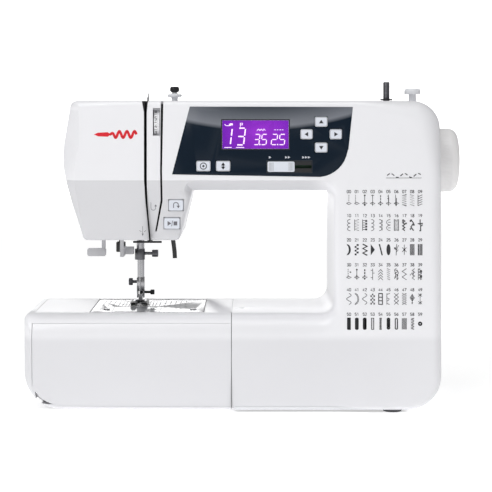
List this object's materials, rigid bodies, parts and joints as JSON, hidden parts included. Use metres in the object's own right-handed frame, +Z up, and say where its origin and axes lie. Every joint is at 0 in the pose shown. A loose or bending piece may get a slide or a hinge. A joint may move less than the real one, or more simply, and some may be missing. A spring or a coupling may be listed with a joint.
{
  "type": "sewing machine",
  "caption": "Computerised home sewing machine with a C-shaped white body, dark control panel, printed stitch chart, handwheel and a removable extension table.",
  "frame": {"origin": "centre of the machine's footprint box, on the surface it stands on", "axes": "+X to the right towards the handwheel, -Y to the front where the user sits, +Z up"},
  "size_m": [0.414, 0.15, 0.3096],
  "materials": {
    "shell_white": "satin",
    "base_grey": "matte",
    "rubber": "matte",
    "cast_frame": "satin",
    "plate_steel": "brushed",
    "clear_cover": "polished",
    "handle_grey": "matte",
    "shaft_steel": "satin",
    "bush_bronze": "satin",
    "panel_navy": "gloss",
    "display": "gloss",
    "key_white": "satin",
    "board_green": "satin",
    "chrome": "polished",
    "black_plastic": "satin",
    "lever_grey": "satin",
    "lamp_lens": "gloss",
    "belt_rubber": "matte",
    "bobbin_clear": "gloss",
    "motor_grey": "satin"
  },
  "bodies": {
    "machine": {"front_cover": "shell_white", "rear_cover": "shell_white", "face_cover": "shell_white", "base_plate": "base_grey", "rubber_feet": "rubber", "main_frame": "cast_frame", "free_arm_cover": "shell_white", "needle_plate": "plate_steel", "bushes": "bush_bronze", "control_panel": "panel_navy", "display": "display", "control_board": "board_green", "thread_guide": "black_plastic", "lamp": "lamp_lens", "belts": "belt_rubber", "bobbin_holder": "black_plastic", "motor": "motor_grey", "winder_stopper": "shell_white", "pretension_guide": "chrome", "terminal_socket": "black_plastic", "spool_pin": "handle_grey", "screws": "plate_steel"},
    "table": {"extension_table": "shell_white"},
    "lid": {"storage_lid": "shell_white"},
    "hook_cover": {"hook_cover": "clear_cover"},
    "handle": {"carrying_handle": "handle_grey"},
    "shaft": {"handwheel": "shell_white", "main_shaft": "shaft_steel"},
    "lower_shaft": {"lower_shaft": "shaft_steel"},
    "hook": {"rotary_hook": "shaft_steel"},
    "motor_pulley": {"motor_pulley": "chrome"},
    "bobbin": {"bobbin": "bobbin_clear"},
    "feed_dog": {"feed_dog": "shaft_steel"},
    "needle_bar": {"needle_bar": "shaft_steel", "needle_clamp": "chrome", "needle": "chrome"},
    "clamp_screw": {"clamp_screw": "black_plastic"},
    "presser": {"presser_bar": "chrome", "foot_holder": "chrome", "presser_spring": "shaft_steel"},
    "holder_screw": {"holder_screw": "chrome"},
    "presser_foot": {"presser_foot": "black_plastic"},
    "release_lever": {"release_lever": "black_plastic"},
    "lifter": {"foot_lifter": "black_plastic"},
    "threader": {"needle_threader": "lever_grey"},
    "buttonhole_lever": {"buttonhole_lever": "black_plastic"},
    "tension_dial": {"tension_dial": "shell_white"},
    "take_up": {"take_up_lever": "chrome"},
    "key_up": {"key_up": "key_white"},
    "key_down": {"key_down": "key_white"},
    "key_left": {"key_left": "key_white"},
    "key_right": {"key_right": "key_white"},
    "lock_key": {"lock_key": "key_white"},
    "needle_key": {"needle_key": "key_white"},
    "slider": {"speed_slider": "key_white"},
    "reverse_button": {"reverse_button": "key_white"},
    "start_stop_button": {"start_stop_button": "key_white"},
    "winder_arm": {"winder_arm": "black_plastic"},
    "winder_spindle": {"winder_spindle": "black_plastic"},
    "power_switch": {"power_switch": "black_plastic"}
  },
  "joints": [
    {"name": "handwheel_turn", "type": "hinge", "parent": "machine", "child": "shaft", "pos_m": [0, -0.004, 0.233], "axis": [1, 0, 0], "continuous": true},
    {"name": "lower_shaft_turn", "type": "hinge", "parent": "machine", "child": "lower_shaft", "pos_m": [0, 0.012, 0.062], "axis": [1, 0, 0], "continuous": true},
    {"name": "hook_turn", "type": "hinge", "parent": "machine", "child": "hook", "pos_m": [-0.104, -0.017, 0], "axis": [0, 0, 1], "continuous": true},
    {"name": "motor_turn", "type": "hinge", "parent": "machine", "child": "motor_pulley", "pos_m": [0, 0.046, 0.12], "axis": [1, 0, 0], "continuous": true},
    {"name": "bobbin_turn", "type": "hinge", "parent": "machine", "child": "bobbin", "pos_m": [-0.104, -0.017, 0], "axis": [0, 0, 1], "continuous": true},
    {"name": "table_slide", "type": "slide", "parent": "machine", "child": "table", "axis": [-1, 0, 0], "range_m": [0, 0.2]},
    {"name": "lid_swing", "type": "hinge", "parent": "table", "child": "lid", "pos_m": [0, -0.0729, 0.0073], "axis": [1, 0, 0], "range_deg": [0, 75]},
    {"name": "hook_cover_lift", "type": "slide", "parent": "machine", "child": "hook_cover", "axis": [0, 0, 1], "range_m": [0, 0.02]},
    {"name": "handle_swing", "type": "hinge", "parent": "machine", "child": "handle", "pos_m": [0, 0.06, 0.278], "axis": [1, 0, 0], "range_deg": [0, 180]},
    {"name": "feed_travel", "type": "slide", "parent": "machine", "child": "feed_dog", "axis": [0, 1, 0], "range_m": [-0.002, 0.002]},
    {"name": "needle_stroke", "type": "slide", "parent": "machine", "child": "needle_bar", "axis": [0, 0, -1], "range_m": [0, 0.029]},
    {"name": "clamp_screw_turn", "type": "hinge", "parent": "needle_bar", "child": "clamp_screw", "pos_m": [0, 0.004, 0.141], "axis": [1, 0, 0], "range_deg": [0, 180]},
    {"name": "lifter_swing", "type": "hinge", "parent": "machine", "child": "lifter", "pos_m": [-0.072, 0.02, 0.172], "axis": [1, 0, 0], "range_deg": [0, 70]},
    {"name": "presser_lift", "type": "slide", "parent": "machine", "child": "presser", "axis": [0, 0, 1], "range_m": [0, 0.0065], "deforming": ["presser_spring"]},
    {"name": "holder_screw_turn", "type": "hinge", "parent": "presser", "child": "holder_screw", "pos_m": [0, 0.017, 0.1115], "axis": [1, 0, 0], "range_deg": [0, 180]},
    {"name": "foot_tilt", "type": "hinge", "parent": "presser", "child": "presser_foot", "pos_m": [-0.104, 0.0155, 0.0985], "axis": [1, 0, 0], "range_deg": [-8, 0]},
    {"name": "release_press", "type": "hinge", "parent": "presser", "child": "release_lever", "pos_m": [-0.104, 0.0242, 0.1002], "axis": [1, 0, 0], "range_deg": [0, 4], "stiffness_Nm_per_rad": 0.05},
    {"name": "threader_pull", "type": "slide", "parent": "machine", "child": "threader", "axis": [0, 0, -1], "range_m": [0, 0.025], "stiffness_N_per_m": 30, "springref_m": -0.01},
    {"name": "buttonhole_pull", "type": "slide", "parent": "machine", "child": "buttonhole_lever", "axis": [0, 0, -1], "range_m": [0, 0.022]},
    {"name": "tension_turn", "type": "hinge", "parent": "machine", "child": "tension_dial", "pos_m": [0, -0.0586, 0.271], "axis": [1, 0, 0], "range_deg": [-140, 140]},
    {"name": "take_up_swing", "type": "hinge", "parent": "machine", "child": "take_up", "pos_m": [0, -0.03, 0.246], "axis": [1, 0, 0], "range_deg": [0, 45]},
    {"name": "key_up_press", "type": "slide", "parent": "machine", "child": "key_up", "axis": [0, 1, 0], "range_m": [0, 0.0008], "stiffness_N_per_m": 400},
    {"name": "key_down_press", "type": "slide", "parent": "machine", "child": "key_down", "axis": [0, 1, 0], "range_m": [0, 0.0008], "stiffness_N_per_m": 400},
    {"name": "key_left_press", "type": "slide", "parent": "machine", "child": "key_left", "axis": [0, 1, 0], "range_m": [0, 0.0008], "stiffness_N_per_m": 400},
    {"name": "key_right_press", "type": "slide", "parent": "machine", "child": "key_right", "axis": [0, 1, 0], "range_m": [0, 0.0008], "stiffness_N_per_m": 400},
    {"name": "lock_key_press", "type": "slide", "parent": "machine", "child": "lock_key", "axis": [0, 1, 0], "range_m": [0, 0.0008], "stiffness_N_per_m": 400},
    {"name": "needle_key_press", "type": "slide", "parent": "machine", "child": "needle_key", "axis": [0, 1, 0], "range_m": [0, 0.0008], "stiffness_N_per_m": 400},
    {"name": "speed_travel", "type": "slide", "parent": "machine", "child": "slider", "axis": [1, 0, 0], "range_m": [0, 0.0156]},
    {"name": "reverse_press", "type": "slide", "parent": "machine", "child": "reverse_button", "axis": [0, 1, 0], "range_m": [0, 0.0012], "stiffness_N_per_m": 400},
    {"name": "start_stop_press", "type": "slide", "parent": "machine", "child": "start_stop_button", "axis": [0, 1, 0], "range_m": [0, 0.0012], "stiffness_N_per_m": 400},
    {"name": "winder_shift", "type": "slide", "parent": "machine", "child": "winder_arm", "axis": [1, 0, 0], "range_m": [0, 0.004]},
    {"name": "winder_turn", "type": "hinge", "parent": "winder_arm", "child": "winder_spindle", "pos_m": [0.1384, 0.001, 0], "axis": [0, 0, 1], "continuous": true},
    {"name": "switch_rock", "type": "hinge", "parent": "machine", "child": "power_switch", "pos_m": [0.181, 0, 0.077], "axis": [0, 1, 0], "range_deg": [-5, 5]}
  ],
  "couplings": [
    {"joint": "lower_shaft_turn", "follows": "handwheel_turn", "ratio": 1},
    {"joint": "hook_turn", "follows": "handwheel_turn", "ratio": 2},
    {"joint": "motor_turn", "follows": "handwheel_turn", "ratio": 4.8},
    {"joint": "presser_lift", "follows": "lifter_swing", "m_per_rad": 0.0049}
  ]
}
